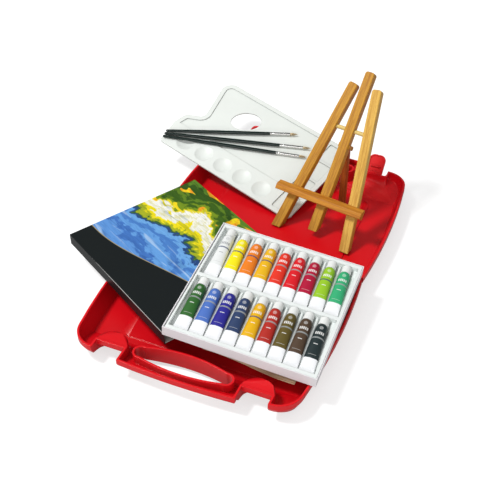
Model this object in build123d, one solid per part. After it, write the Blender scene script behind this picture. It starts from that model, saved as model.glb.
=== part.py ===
from build123d import *
from math import atan, atan2, cos, degrees, hypot, pi, radians, sin, sqrt, tan
import os

# Case shells. Two equal trays, opened flat, joined along their hinge sides at rim level.
SHELL_DEPTH = 204.5
RIM_HEIGHT = 24.0
WALL = 2.3
FLOOR = 2.3
HINGE_HALF = 128.4
MID_HALF = 132.2
FRONT_HALF = 122.4
FRONT_BOW = 1.0
CORNER_RADIUS = 27.0
HINGE_CORNER_RADIUS = 3.2
HINGE_WALL_SETBACK = 0.8
SKIRT = 6.5
SIDE_DRAFT = 26.0
FOOT_EDGE_RADIUS = 3.0
BELLY_START = 168.0
BELLY_SLOPE = 19.8

# Carrying handle, one half on each shell, with a hand hole inside a raised ring.
HANDLE_HALF = 65.5
HANDLE_END = 211.0
HANDLE_MID = 213.6
HOLE_HALF = 54.0
HOLE_ARC_HALF = 46.0
HOLE_INNER_END = 185.0
HOLE_INNER_MID = 178.0
HOLE_OUTER_END = 197.5
HOLE_OUTER_MID = 203.0
HOLE_END_CENTRE = 191.0
RING_WALL = 2.2
RING_EDGE_RADIUS = 0.9

# Latch notches on either side of the handle.
NOTCH_OUTER = 97.5
NOTCH_WALL_Y = 193.5
NOTCH_CORNER_RADIUS = 2.6
LIP_HEIGHT = 7.0
PAD_DROP = 1.0

# Latch tabs, hinged on the lid at rim level.
TAB_WIDTH = 21.0
TAB_LENGTH = 24.3
TAB_THICKNESS = 1.9
TAB_TIP_RADIUS = 7.0
TAB_RIM = 1.7
TAB_RIM_HEIGHT = 0.7
TAB_PIVOT_OFFSET = 1.0
TAB_PIVOT_DROP = 0.4
TAB_BEAD_RADIUS = 0.6
CATCH_HEIGHT = 2.0
CATCH_LENGTH = 2.0
CATCH_WIDTH = 12.0
LEFT_TAB_REST = 46.0
RIGHT_TAB_REST = 42.0

# Raised floor panel of each shell. The underside stays flat.
PANEL_HALF = 89.4
PANEL_FRONT = 160.0
PANEL_BACK = 38.0
PANEL_RISE = 1.2
PANEL_RADIUS = 9.0

# Film hinge along the joined sides.
HINGE_LIP_HALF = 112.0
HINGE_LIP_THICKNESS = 0.6
HINGE_LIP_GAP = 0.15
CLOSED_GAP = 0.3
CLEARANCE = 0.3

# Printed carton, lying level across the left rims, open at its right end.
CARTON_LENGTH = 198.0
CARTON_WIDTH = 173.5
CARTON_HEIGHT = 13.6
CARD = 0.8
CARTON_X = -70.9
CARTON_Y = -47.9
CARTON_TURN = -30.3
CARTON_TUCK = 16.0
THUMB_CUT_RADIUS = 9.0

# Paint tray: a card tray with a formed insert, leaning from the carton's edge to the right rim.
TRAY_SIZE = 165.4
TRAY_HEIGHT = 12.5
TRAY_X = 48.3
TRAY_Y = -87.6
TRAY_TURN = 1.9
TRAY_LEAN = 5.7
INSERT_SHEET = 0.8
POCKET_HALF = 77.0
POCKET_DIVIDER = 4.7
POCKET_MARGIN = 4.6
INSERT_SLACK = 0.6

# Paint tubes, two rows of nine.
TUBE_COUNT = 9
TUBE_PITCH = 16.9
TUBE_LENGTH = 73.6
TUBE_RADIUS = 6.2
TUBE_SKEW = 2.2
CRIMP_WIDTH = 15.4
CRIMP_THICKNESS = 1.5
CRIMP_LENGTH = 5.5
CAP_LENGTH = 11.0
CAP_RADIUS = 5.6
CAP_TOP_RADIUS = 5.2
NECK_RADIUS = 3.4
NECK_LENGTH = 7.5
SHOULDER_LENGTH = 2.2
NECK_CLEARANCE = 0.08
CAP_GAP = 0.3

# Folded leaflet lying in the base.
LEAFLET_WIDTH = 105.0
LEAFLET_DEPTH = 74.0
LEAFLET_THICKNESS = 0.6
LEAFLET_WAVE = 3.0
LEAFLET_X = 56.0
LEAFLET_Y = -112.5
LEAFLET_TURN = -4.0

# Palette, leaning on the lid's rims with one corner on the lid's floor.
PALETTE_LENGTH = 209.8
PALETTE_WIDTH = 136.3
PALETTE_PLATE = 2.4
PALETTE_RIM = 6.0
MIX_DEPTH = 1.0
WELL_COUNT = 5
WELL_RADIUS = 12.3
WELL_DEPTH = 3.4
WELL_WALL = 1.2
WELL_PITCH = 31.25
WELL_FIRST_X = -75.4
WELL_ROW_Y = -50.4
WELL_BAND = 39.0
TRAY_CELLS = 4
CELL_LENGTH = 24.0
CELL_GAP = 3.0
CELL_DEPTH = 1.3
THUMB_X = -36.6
THUMB_Y = 26.4
THUMB_LONG = 20.0
THUMB_SHORT = 15.0
THUMB_TURN = 38.0
PALETTE_X = -72.9
PALETTE_Y = 175.6
PALETTE_Z = 35.3
PALETTE_ROLL = 11.82
PALETTE_PITCH = 7.86
PALETTE_TURN = -15.5

# Brushes: handle end and tip on the palette, with handle and ferrule lengths.
BRUSHES = {
    "round_brush_small": ((-107.3, -52.6), (32.8, 48.4), 136.0, 26.0),
    "round_brush_large": ((-105.8, -57.3), (60.7, 39.6), 151.5, 30.0),
    "round_brush_medium": ((-104.3, -62.0), (65.3, 24.6), 150.0, 30.0),
}
BRUSH_END_RADIUS = 1.6
BRUSH_BELLY_RADIUS = 2.3
BRUSH_NECK_RADIUS = 1.9
FERRULE_MOUTH_RADIUS = 1.75
FERRULE_SHEET = 0.25
TENON_LENGTH = 9.0
TENON_CLEARANCE = 0.05
TUFT_SEAT = 2.5
STRAND_RINGS = 6
STRANDS_PER_RING = 7
STRAND_SIDE = 0.15
TUFT_TIP_SHARE = 0.3
BRUSH_END_REST = 2.6
BRUSH_TIP_REST = 3.2

# Table easel standing on the lid's floor panel, leaning back on its rear leg.
EASEL_X = 43.6
EASEL_Y = 66.1
EASEL_TURN = -9.3
EASEL_LEAN = 39.9
STRIP_WIDTH = 11.5
STRIP_THICKNESS = 10.6
HEEL_SLOPE = 8.0
FOOT_HALF = 46.3
TOP_HALF = 15.2
LEG_HEIGHT = 191.5
MAST_START = 10.6
MAST_END = 208.8
STRIP_TOP_RADIUS = 3.0
LEDGE_HEIGHT = 48.8
LEDGE_HALF = 56.7
LEDGE_SHIFT = -2.9
LEDGE_DEPTH = 9.4
LEDGE_TALL = 12.0
LEDGE_BEVEL_START = 1.7
LEDGE_BEVEL_END = 0.7
DOWEL_HEIGHT = 137.5
DOWEL_RADIUS = 2.5
DOWEL_SEAT = 4.0
DOWEL_CLEARANCE = 0.05
REAR_PIVOT_HEIGHT = 118.0
REAR_STRIP_WIDTH = 8.0
REAR_STRIP_THICKNESS = 6.0
REAR_FOOT_BACK = 81.6
REAR_PIN_RADIUS = 1.5
PIN_CLEARANCE = 0.08
EAR_THICKNESS = 1.6
EAR_RADIUS = 2.6
STRIP_EDGE_RADIUS = 0.6

# Worked-out places. The row frame's origin is the middle of the base's underside.
HINGE_Y = SHELL_DEPTH / 2
HINGE_Z = RIM_HEIGHT + CLOSED_GAP / 2
RIM_REST = RIM_HEIGHT + CLEARANCE
PANEL_TOP = FLOOR + PANEL_RISE
NOTCH_CENTRE = (HANDLE_HALF + NOTCH_OUTER) / 2
NOTCH_WIDTH = NOTCH_OUTER - HANDLE_HALF


def circle_centre(first, second, third):
    # The centre of the circle through three points.
    (ax, ay), (bx, by), (cx, cy) = first, second, third
    scale = 2 * (ax * (by - cy) + bx * (cy - ay) + cx * (ay - by))
    a2, b2, c2 = ax * ax + ay * ay, bx * bx + by * by, cx * cx + cy * cy
    x = (a2 * (by - cy) + b2 * (cy - ay) + c2 * (ay - by)) / scale
    y = (a2 * (cx - bx) + b2 * (ax - cx) + c2 * (bx - ax)) / scale
    return x, y


def arc_points(centre, start, end, count):
    # Points along the shorter arc about a centre, from start to end, without the end.
    radius = hypot(start[0] - centre[0], start[1] - centre[1])
    first = atan2(start[1] - centre[1], start[0] - centre[0])
    sweep = atan2(end[1] - centre[1], end[0] - centre[0]) - first
    sweep = (sweep + pi) % (2 * pi) - pi
    angles = [first + sweep * step / count for step in range(count)]
    return [(centre[0] + radius * cos(angle), centre[1] + radius * sin(angle)) for angle in angles]


def both_halves(right):
    # Closes a right half, listed from the front's middle to the back, with its mirror image.
    left = [(-x, y) for x, y in reversed(right) if x > 0.001]
    return right + left


def shell_outline():
    front = -SHELL_DEPTH
    back = -HINGE_WALL_SETBACK
    side = circle_centre((HINGE_HALF, back), (MID_HALF, front / 2), (FRONT_HALF, front))
    side_radius = HINGE_HALF - side[0]
    side_radius = hypot(side_radius, back - side[1])
    bow = circle_centre((FRONT_HALF, front), (0, front - FRONT_BOW), (-FRONT_HALF, front))
    bow_radius = bow[1] - (front - FRONT_BOW)
    # The corner's centre lies one corner radius inside both arcs.
    to_side = side_radius - CORNER_RADIUS
    to_bow = bow_radius - CORNER_RADIUS
    gap = hypot(bow[0] - side[0], bow[1] - side[1])
    along = (to_side**2 - to_bow**2 + gap**2) / (2 * gap)
    off = sqrt(to_side**2 - along**2)
    ux, uy = (bow[0] - side[0]) / gap, (bow[1] - side[1]) / gap
    corner = (side[0] + along * ux + off * uy, side[1] + along * uy - off * ux)
    on_side = side_radius / to_side
    on_bow = bow_radius / to_bow
    end = (side[0] + (corner[0] - side[0]) * on_side, side[1] + (corner[1] - side[1]) * on_side)
    start = (bow[0] + (corner[0] - bow[0]) * on_bow, bow[1] + (corner[1] - bow[1]) * on_bow)
    right = arc_points(bow, (0, front - FRONT_BOW), start, 3)
    right += arc_points(corner, start, end, 10)
    right += arc_points(side, end, (HINGE_HALF, back), 7)
    return both_halves(right + [(HINGE_HALF, back)])


def handle_outline():
    front = circle_centre((HANDLE_HALF, -HANDLE_END), (0, -HANDLE_MID), (-HANDLE_HALF, -HANDLE_END))
    right = arc_points(front, (0, -HANDLE_MID), (HANDLE_HALF, -HANDLE_END), 6)
    return both_halves(right + [(HANDLE_HALF, -HANDLE_END), (HANDLE_HALF, -NOTCH_WALL_Y + 20)])


def inset_points(points, inset):
    # Moves every side of an anticlockwise outline inwards by the same distance.
    moved = []
    for index, point in enumerate(points):
        before = points[index - 1]
        after = points[(index + 1) % len(points)]
        normals = []
        for start, end in ((before, point), (point, after)):
            length = hypot(end[0] - start[0], end[1] - start[1])
            normals.append((-(end[1] - start[1]) / length, (end[0] - start[0]) / length))
        (ax, ay), (bx, by) = normals
        share = inset / (1 + ax * bx + ay * by)
        moved.append((point[0] + (ax + bx) * share, point[1] + (ay + by) * share))
    return moved


def drafted(points, inset, low, foot_radius):
    # From the rim down: a straight skirt, sides that slope in, and a rounded foot edge at height low.
    slope = radians(SIDE_DRAFT)
    bend = foot_radius * tan((pi / 2 - slope) / 2)
    turn_height = low + bend * cos(slope)
    steps = [(RIM_HEIGHT, 0), (RIM_HEIGHT - SKIRT, 0)]
    run = (RIM_HEIGHT - SKIRT - turn_height) * tan(slope)
    steps.append((turn_height, run))
    if foot_radius > 0:
        centre_run = run + foot_radius * cos(slope)
        for share in (0.35, 0.7, 1):
            angle = slope + (pi / 2 - slope) * share
            steps.append((low + foot_radius * (1 - sin(angle)), centre_run - foot_radius * cos(angle)))
    rings = []
    for height, step_run in steps:
        rings.append([(x, y, height) for x, y in inset_points(points, inset + step_run)])
    faces = [Face(Wire.make_polygon(rings[0], close=True)), Face(Wire.make_polygon(rings[-1], close=True))]
    for upper, lower in zip(rings, rings[1:]):
        for index in range(len(points)):
            following = (index + 1) % len(points)
            corners = [upper[index], upper[following], lower[following], lower[index]]
            faces.append(Face(Wire.make_polygon(corners, close=True)))
    return Solid(Shell(faces))


def hole_outline(margin):
    inner_end = -HOLE_INNER_END
    outer_end = -HOLE_OUTER_END
    with BuildSketch() as sketch:
        with BuildLine():
            ThreePointArc((-HOLE_ARC_HALF, inner_end), (0, -HOLE_INNER_MID), (HOLE_ARC_HALF, inner_end))
            end_bow = (HOLE_HALF, -HOLE_END_CENTRE)
            ThreePointArc((HOLE_ARC_HALF, inner_end), end_bow, (HOLE_ARC_HALF, outer_end))
            ThreePointArc((HOLE_ARC_HALF, outer_end), (0, -HOLE_OUTER_MID), (-HOLE_ARC_HALF, outer_end))
            end_bow = (-HOLE_HALF, -HOLE_END_CENTRE)
            ThreePointArc((-HOLE_ARC_HALF, outer_end), end_bow, (-HOLE_ARC_HALF, inner_end))
        make_face()
        if margin > 0:
            offset(amount=margin, kind=Kind.ARC, mode=Mode.REPLACE)
    return sketch.sketch


def notch_block(side, margin, low, high, corner):
    # The notch's plan, grown by a margin for the wall around it.
    width = NOTCH_WIDTH + 2 * margin
    depth = 40.0
    plan = Rectangle(width, depth, align=(Align.CENTER, Align.MAX))
    if corner > 0:
        plan = fillet(plan.vertices().group_by(Axis.Y)[-1], corner)
    place = Pos(side * NOTCH_CENTRE, -NOTCH_WALL_Y + margin, low)
    return place * extrude(plan, amount=high - low)


def half_disc(side, radius, low, high, front):
    # A half round plan whose straight side faces the notch.
    plan = Circle(radius) - Pos(0, -radius) * Rectangle(3 * radius, 2 * radius)
    plan = plan + Pos(0, -front / 2) * Rectangle(2 * radius, front) if front > 0 else plan
    place = Pos(side * NOTCH_CENTRE, -NOTCH_WALL_Y, low)
    return place * extrude(plan, amount=high - low)


def panel_block(low, high):
    plan = RectangleRounded(2 * PANEL_HALF, PANEL_FRONT - PANEL_BACK, PANEL_RADIUS)
    place = Pos(0, -(PANEL_FRONT + PANEL_BACK) / 2, low)
    return place * extrude(plan, amount=high - low)


def under_belly(sheet):
    # The space under the sloping front of a shell, with the floor's sheet added on top.
    rise = Pos(0, -BELLY_START, sheet / cos(radians(BELLY_SLOPE))) * Rot(-BELLY_SLOPE, 0, 0)
    return rise * Box(4 * MID_HALF, 90, 40, align=(Align.CENTER, Align.MAX, Align.MAX))


def case_shell(is_base):
    # Drawn with the hinge line at Y 0 and the shell towards -Y.
    outer = drafted(shell_outline(), 0, 0, FOOT_EDGE_RADIUS)
    outer = outer + drafted(handle_outline(), 0, 0, 0)
    for side in (-1, 1):
        radius = HINGE_CORNER_RADIUS
        block = Box(radius, radius, 3 * RIM_HEIGHT, align=(Align.MIN, Align.MIN, Align.CENTER))
        quarter = block - Cylinder(radius, 4 * RIM_HEIGHT)
        inset = HINGE_HALF - HINGE_CORNER_RADIUS
        place = Pos(inset, -HINGE_WALL_SETBACK - HINGE_CORNER_RADIUS, 0) * quarter
        outer = outer - (place if side > 0 else mirror(place, about=Plane.YZ))
    outer = outer - under_belly(0)
    cavity = drafted(shell_outline(), WALL, FLOOR, 0)
    cavity = cavity + drafted(handle_outline(), WALL, FLOOR, 0)
    cavity = cavity - under_belly(FLOOR)
    corner = 0 if is_base else NOTCH_CORNER_RADIUS
    for side in (-1, 1):
        outer = outer - notch_block(side, 0, -1, RIM_HEIGHT + 1, corner)
        cavity = cavity - notch_block(side, WALL, -1, RIM_HEIGHT + 1, corner)
        if is_base:
            cavity = cavity - half_disc(side, NOTCH_WIDTH / 2 + WALL, -1, RIM_HEIGHT - PAD_DROP, 0)
    ring = extrude(hole_outline(RING_WALL), amount=RIM_HEIGHT)
    cavity = cavity - ring
    cavity = cavity - panel_block(0, PANEL_TOP)
    shell = outer - cavity
    shell = shell - Pos(0, 0, -1) * extrude(hole_outline(0), amount=RIM_HEIGHT + 2)
    if is_base:
        lip_low = RIM_HEIGHT - LIP_HEIGHT
        pocket_top = RIM_HEIGHT - PAD_DROP - WALL
        for side in (-1, 1):
            shell = shell - half_disc(side, NOTCH_WIDTH / 2, -1, lip_low, WALL)
            upper = half_disc(side, NOTCH_WIDTH / 2, lip_low - 1, pocket_top, 0)
            lip = Pos(side * NOTCH_CENTRE, -NOTCH_WALL_Y, lip_low) * Box(
                NOTCH_WIDTH, WALL, LIP_HEIGHT, align=(Align.CENTER, Align.MIN, Align.MIN)
            )
            shell = shell - (upper - lip)
    film = Pos(0, -HINGE_LIP_GAP, RIM_HEIGHT) * Box(
        2 * HINGE_LIP_HALF, 2.0, HINGE_LIP_THICKNESS, align=(Align.CENTER, Align.MAX, Align.MAX)
    )
    shell = shell + film
    if not is_base:
        web = TAB_PIVOT_OFFSET - TAB_BEAD_RADIUS - 0.25
        for side in (-1, 1):
            ledge = Pos(side * NOTCH_CENTRE, -NOTCH_WALL_Y + 0.5, RIM_HEIGHT - TAB_PIVOT_DROP) * Box(
                TAB_WIDTH - 3, web + 0.5, HINGE_LIP_THICKNESS, align=(Align.CENTER, Align.MAX, Align.CENTER)
            )
            shell = shell + ledge
    return shell


def latch_tab(rest_angle):
    # Drawn flat: the pivot bead along X at the origin, the tab towards +Y.
    start = TAB_BEAD_RADIUS / 2
    plan = Pos(0, start) * Rectangle(TAB_WIDTH, TAB_LENGTH - start, align=(Align.CENTER, Align.MIN))
    plan = fillet(plan.vertices().group_by(Axis.Y)[-1], TAB_TIP_RADIUS)
    plate = Pos(0, 0, -TAB_THICKNESS) * extrude(plan, amount=TAB_THICKNESS)
    channel_start = TAB_PIVOT_OFFSET + 1.5
    beyond = Rectangle(2 * TAB_WIDTH, TAB_LENGTH, align=(Align.CENTER, Align.MIN))
    inner = plan & (Pos(0, channel_start) * beyond)
    rim_plan = inner - offset(inner, amount=-TAB_RIM)
    rim = Pos(0, 0, -TAB_RIM_HEIGHT) * extrude(rim_plan, amount=2 * TAB_RIM_HEIGHT)
    bead = Rot(0, 90, 0) * Cylinder(TAB_BEAD_RADIUS, TAB_WIDTH)
    catch_start = CLOSED_GAP + TAB_PIVOT_DROP + LIP_HEIGHT + CLEARANCE
    catch = Pos(0, catch_start, -TAB_THICKNESS / 2) * Box(
        CATCH_WIDTH, CATCH_LENGTH, CATCH_HEIGHT + TAB_THICKNESS / 2, align=(Align.CENTER, Align.MIN, Align.MIN)
    )
    return Rot(rest_angle, 0, 0) * (plate + rim + bead + catch)


def carton_place():
    return Pos(CARTON_X, HINGE_Y + CARTON_Y, RIM_REST) * Rot(0, 0, CARTON_TURN)


def carton():
    # A card carton, open at +X where its tuck flap is folded inside.
    low = (Align.CENTER, Align.CENTER, Align.MIN)
    body = Box(CARTON_LENGTH, CARTON_WIDTH, CARTON_HEIGHT, align=low)
    room = Pos(CARD, 0, CARD) * Box(CARTON_LENGTH, CARTON_WIDTH - 2 * CARD, CARTON_HEIGHT - 2 * CARD, align=low)
    end = CARTON_LENGTH / 2
    tuck = Pos(end - CARTON_TUCK / 2, 0, 0) * Box(CARTON_TUCK, CARTON_WIDTH - 4 * CARD, 2 * CARD, align=low)
    # The thumb cut goes through the upper panel only.
    thumb = Pos(end, 0, CARTON_HEIGHT / 2) * Cylinder(THUMB_CUT_RADIUS, CARTON_HEIGHT, align=low)
    return (body - room + tuck) - thumb


def tray_place():
    # Leans about the carton's right edge, whose top carries it, down to the case's right rim.
    edge_turn = 90 + CARTON_TURN
    edge_x = CARTON_X + CARTON_LENGTH / 2 * cos(radians(CARTON_TURN))
    edge_y = CARTON_Y + CARTON_LENGTH / 2 * sin(radians(CARTON_TURN))
    away = (TRAY_X - edge_x) * sin(radians(edge_turn)) - (TRAY_Y - edge_y) * cos(radians(edge_turn))
    height = RIM_REST + CARTON_HEIGHT + CLEARANCE - away * tan(radians(TRAY_LEAN))
    lean = Rot(0, 0, edge_turn) * Rot(TRAY_LEAN, 0, 0) * Rot(0, 0, TRAY_TURN - edge_turn)
    return Pos(TRAY_X, HINGE_Y + TRAY_Y, height) * lean


def card_tray():
    low = (Align.CENTER, Align.CENTER, Align.MIN)
    outer = Box(TRAY_SIZE, TRAY_SIZE, TRAY_HEIGHT, align=low)
    inside = TRAY_SIZE - 2 * CARD
    return outer - Pos(0, 0, CARD) * Box(inside, inside, TRAY_HEIGHT, align=low)


def row_centre(row):
    # Row 0 is the far row and row 1 the near row.
    middle = (POCKET_HALF + POCKET_DIVIDER / 2) / 2
    return middle if row == 0 else -middle


POCKET_LENGTH = POCKET_HALF - POCKET_DIVIDER / 2
POCKET_WIDTH = TRAY_SIZE - 2 * POCKET_MARGIN
POCKET_FLOOR = CARD + CLEARANCE + INSERT_SHEET
TUBE_AXIS_Z = POCKET_FLOOR + CLEARANCE + TUBE_RADIUS


def blister_insert():
    low = (Align.CENTER, Align.CENTER, Align.MIN)
    size = TRAY_SIZE - 2 * CARD - 2 * CLEARANCE
    bottom = CARD + CLEARANCE
    tall = TRAY_HEIGHT - CLEARANCE - bottom
    # Slid to the right wall, which leaves a gap along the left one.
    block = Pos(INSERT_SLACK, 0, bottom) * Box(size - 2 * INSERT_SLACK, size, tall, align=low)
    hollow = Pos(INSERT_SLACK, 0, bottom - 1) * Box(
        size - 2 * INSERT_SLACK - 2 * INSERT_SHEET, size - 2 * INSERT_SHEET, tall + 1 - INSERT_SHEET, align=low
    )
    insert = block - hollow
    for row in (0, 1):
        outer = Pos(0, row_centre(row), bottom) * Box(
            POCKET_WIDTH + 2 * INSERT_SHEET, POCKET_LENGTH + 2 * INSERT_SHEET, tall, align=low
        )
        insert = insert + outer
    for row in (0, 1):
        pocket = Pos(0, row_centre(row), POCKET_FLOOR) * Box(POCKET_WIDTH, POCKET_LENGTH, tall, align=low)
        insert = insert - pocket
    return insert


def tube_place(row, column):
    # The cap's top faces the tray's far side. The tube is drawn along -Y from there.
    x = (column - (TUBE_COUNT - 1) / 2) * TUBE_PITCH
    top = row_centre(row) + TUBE_LENGTH / 2
    return Pos(x - sin(radians(TUBE_SKEW)) * TUBE_LENGTH / 2, top, TUBE_AXIS_Z) * Rot(0, 0, TUBE_SKEW)


def tube_body():
    # Along -Y: neck, shoulder, then a round body that flattens to the folded crimp.
    shoulder = CAP_LENGTH + CAP_GAP
    start = shoulder + SHOULDER_LENGTH
    crimp = TUBE_LENGTH - CRIMP_LENGTH
    along = Plane(origin=(0, 0, 0), x_dir=(1, 0, 0), z_dir=(0, -1, 0))
    with BuildPart() as body:
        with BuildSketch(along.offset(start)):
            Ellipse(TUBE_RADIUS, TUBE_RADIUS - 0.001)
        with BuildSketch(along.offset(start + (crimp - start) * 0.4)):
            Ellipse(TUBE_RADIUS + (CRIMP_WIDTH / 2 - TUBE_RADIUS) * 0.45, TUBE_RADIUS * 0.78)
        with BuildSketch(along.offset(crimp)):
            Ellipse(CRIMP_WIDTH / 2, CRIMP_THICKNESS / 2)
        loft()
    profile = Polyline(
        (0, -shoulder + NECK_LENGTH),
        (NECK_RADIUS, -shoulder + NECK_LENGTH),
        (NECK_RADIUS, -shoulder),
        (TUBE_RADIUS - 0.8, -shoulder),
        (TUBE_RADIUS - 0.05, -start),
        (0, -start),
        close=True,
    )
    nose = revolve(make_face(profile), axis=Axis.Y)
    fold = Box(CRIMP_WIDTH, CRIMP_LENGTH, CRIMP_THICKNESS, align=(Align.CENTER, Align.MAX, Align.CENTER))
    return body.part + nose + Pos(0, -crimp, 0) * fold


def tube_cap():
    bore = NECK_RADIUS + NECK_CLEARANCE
    bore_end = -(CAP_LENGTH - NECK_LENGTH - CAP_GAP) + CLEARANCE
    profile = Polyline(
        (0, 0),
        (CAP_TOP_RADIUS - 0.8, 0),
        (CAP_TOP_RADIUS, -0.8),
        (CAP_RADIUS, -CAP_LENGTH),
        (bore, -CAP_LENGTH),
        (bore, bore_end),
        (0, bore_end),
        close=True,
    )
    return revolve(make_face(profile), axis=Axis.Y)


def leaflet_place():
    return Pos(LEAFLET_X, HINGE_Y + LEAFLET_Y, PANEL_TOP + CLEARANCE) * Rot(0, 0, LEAFLET_TURN)


def leaflet():
    # One sheet whose front view is two shallow waves.
    half = LEAFLET_WIDTH / 2
    quarter = half / 2
    thick = LEAFLET_THICKNESS
    wave = LEAFLET_WAVE
    with BuildSketch(Plane.XZ) as side:
        with BuildLine():
            ThreePointArc((-half, 0), (-quarter, wave), (0, wave / 2))
            ThreePointArc((0, wave / 2), (quarter, 0), (half, wave))
            Line((half, wave), (half, wave + thick))
            ThreePointArc((half, wave + thick), (quarter, thick), (0, wave / 2 + thick))
            ThreePointArc((0, wave / 2 + thick), (-quarter, wave + thick), (-half, thick))
            Line((-half, thick), (-half, 0))
        make_face()
    return extrude(side.sketch, amount=LEAFLET_DEPTH / 2, both=True)


def palette_place():
    turn = Rot(0, 0, PALETTE_TURN) * Rot(0, PALETTE_PITCH, 0) * Rot(PALETTE_ROLL, 0, 0)
    return Pos(PALETTE_X, HINGE_Y + PALETTE_Y, PALETTE_Z) * turn


def palette_outline():
    # A rectangle with the stepped hand rest cut from its upper left.
    half = PALETTE_LENGTH / 2
    side = PALETTE_WIDTH / 2
    corners = [
        (-half, -side),
        (half, -side),
        (half, side),
        (-half + 1.5, side),
        (-half + 20.5, -2.0),
        (-half - 2.0, -13.0),
        (-half - 6.0, -32.0),
    ]
    with BuildSketch() as sketch:
        with BuildLine():
            Polyline(*corners, close=True)
        make_face()
        fillet(sketch.vertices().filter_by(lambda v: v.X > 0), 8.0)
        fillet(sketch.vertices().filter_by(lambda v: v.Y > 0 and v.X < 0), 14.0)
        fillet(sketch.vertices().filter_by(lambda v: -3 < v.Y < 0), 9.0)
        fillet(sketch.vertices().filter_by(lambda v: -14 < v.Y < -3.1 and v.X < -half), 9.0)
        fillet(sketch.vertices().filter_by(lambda v: -35 < v.Y < -15 and v.X < -half - 4), 12.0)
        fillet(sketch.vertices().filter_by(lambda v: v.X < 0 and v.Y < -side + 1), 5.0)
    return sketch.sketch


def mixing_area():
    # The sunk middle of the plate: inside the rim, above the row of wells, left of the cells.
    half = PALETTE_LENGTH / 2
    side = PALETTE_WIDTH / 2
    low = -side + WELL_BAND
    right = half - PALETTE_RIM - CELL_LENGTH - CELL_GAP
    inside = offset(palette_outline(), amount=-PALETTE_RIM)
    window = Pos((right - half - 10) / 2, (low + side) / 2) * Rectangle(right + half + 10, side - low)
    return inside & window


def thumb_hole():
    return Pos(THUMB_X, THUMB_Y) * Rot(0, 0, THUMB_TURN) * Ellipse(THUMB_LONG, THUMB_SHORT)


def palette():
    plan = palette_outline()
    body = Pos(0, 0, -PALETTE_PLATE) * extrude(plan, amount=PALETTE_PLATE)
    sphere_radius = (WELL_RADIUS**2 + WELL_DEPTH**2) / (2 * WELL_DEPTH)
    rise = sphere_radius - WELL_DEPTH
    low = -WELL_DEPTH - WELL_WALL
    for index in range(WELL_COUNT):
        centre = Pos(WELL_FIRST_X + index * WELL_PITCH, WELL_ROW_Y, rise)
        bowl = centre * Sphere(sphere_radius + WELL_WALL)
        slab = Pos(WELL_FIRST_X + index * WELL_PITCH, WELL_ROW_Y, low) * Cylinder(
            WELL_RADIUS + 1, -low - PALETTE_PLATE / 2, align=(Align.CENTER, Align.CENTER, Align.MIN)
        )
        body = body + (bowl & slab)
    for index in range(WELL_COUNT):
        centre = Pos(WELL_FIRST_X + index * WELL_PITCH, WELL_ROW_Y, rise)
        body = body - centre * Sphere(sphere_radius)
    body = body - Pos(0, 0, -MIX_DEPTH) * extrude(mixing_area(), amount=MIX_DEPTH + 1)
    body = body - Pos(0, 0, -2 * PALETTE_PLATE) * extrude(thumb_hole(), amount=3 * PALETTE_PLATE)
    pitch = (PALETTE_WIDTH - 2 * PALETTE_RIM + CELL_GAP) / TRAY_CELLS
    for index in range(TRAY_CELLS):
        y = (index - (TRAY_CELLS - 1) / 2) * pitch
        x = PALETTE_LENGTH / 2 - PALETTE_RIM - CELL_LENGTH / 2
        cell = RectangleRounded(CELL_LENGTH, pitch - CELL_GAP, 2.5)
        body = body - Pos(x, y, -CELL_DEPTH) * extrude(cell, amount=CELL_DEPTH + 1)
    return body


def brush_place(name):
    # The brush is drawn along +X from its handle's end.
    end, tip, handle, ferrule = BRUSHES[name]
    length = hypot(tip[0] - end[0], tip[1] - end[1])
    turn = degrees(atan2(tip[1] - end[1], tip[0] - end[0]))
    dip = degrees(atan((BRUSH_END_REST - BRUSH_TIP_REST + MIX_DEPTH) / length))
    return Pos(end[0], end[1], BRUSH_END_REST) * Rot(0, 0, turn) * Rot(0, dip, 0)


def brush_handle(handle):
    end = BRUSH_END_RADIUS
    tenon = BRUSH_NECK_RADIUS - FERRULE_SHEET - TENON_CLEARANCE
    with BuildSketch() as side:
        with BuildLine():
            Line((0, 0), (0.01, end * 0.6))
            ThreePointArc((0.01, end * 0.6), (0.8, end * 0.92), (3.0, end))
            belly = (handle * 0.72, BRUSH_BELLY_RADIUS)
            ThreePointArc((3.0, end), belly, (handle, BRUSH_NECK_RADIUS + 0.1))
            Line((handle, BRUSH_NECK_RADIUS + 0.1), (handle, tenon))
            Line((handle, tenon), (handle + TENON_LENGTH, tenon))
            Line((handle + TENON_LENGTH, tenon), (handle + TENON_LENGTH, 0))
            Line((handle + TENON_LENGTH, 0), (0, 0))
        make_face()
    return revolve(side.sketch, axis=Axis.X)


def brush_ferrule(handle, ferrule):
    start = handle + 0.02
    end = handle + ferrule
    mouth = FERRULE_MOUTH_RADIUS
    neck = BRUSH_NECK_RADIUS
    waist = start + TENON_LENGTH + 1
    crimp_one = start + 3.0
    crimp_two = start + 5.0
    outer = [(start, neck), (crimp_one - 0.4, neck), (crimp_one, neck - 0.12), (crimp_one + 0.4, neck)]
    outer += [(crimp_two - 0.4, neck), (crimp_two, neck - 0.12), (crimp_two + 0.4, neck)]
    outer += [(waist, neck), (end, mouth)]
    sheet = FERRULE_SHEET
    inner = [(end, mouth - sheet), (waist, neck - sheet), (start, neck - sheet)]
    profile = make_face(Polyline(*outer, *inner, close=True))
    return revolve(profile, axis=Axis.X)


def triangle(x, centre_y, centre_z, side, turn):
    points = []
    for corner in range(3):
        angle = turn + corner * 2 * pi / 3
        points.append((x, centre_y + side * 0.577 * cos(angle), centre_z + side * 0.577 * sin(angle)))
    return Wire.make_polygon(points, close=True)


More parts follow.
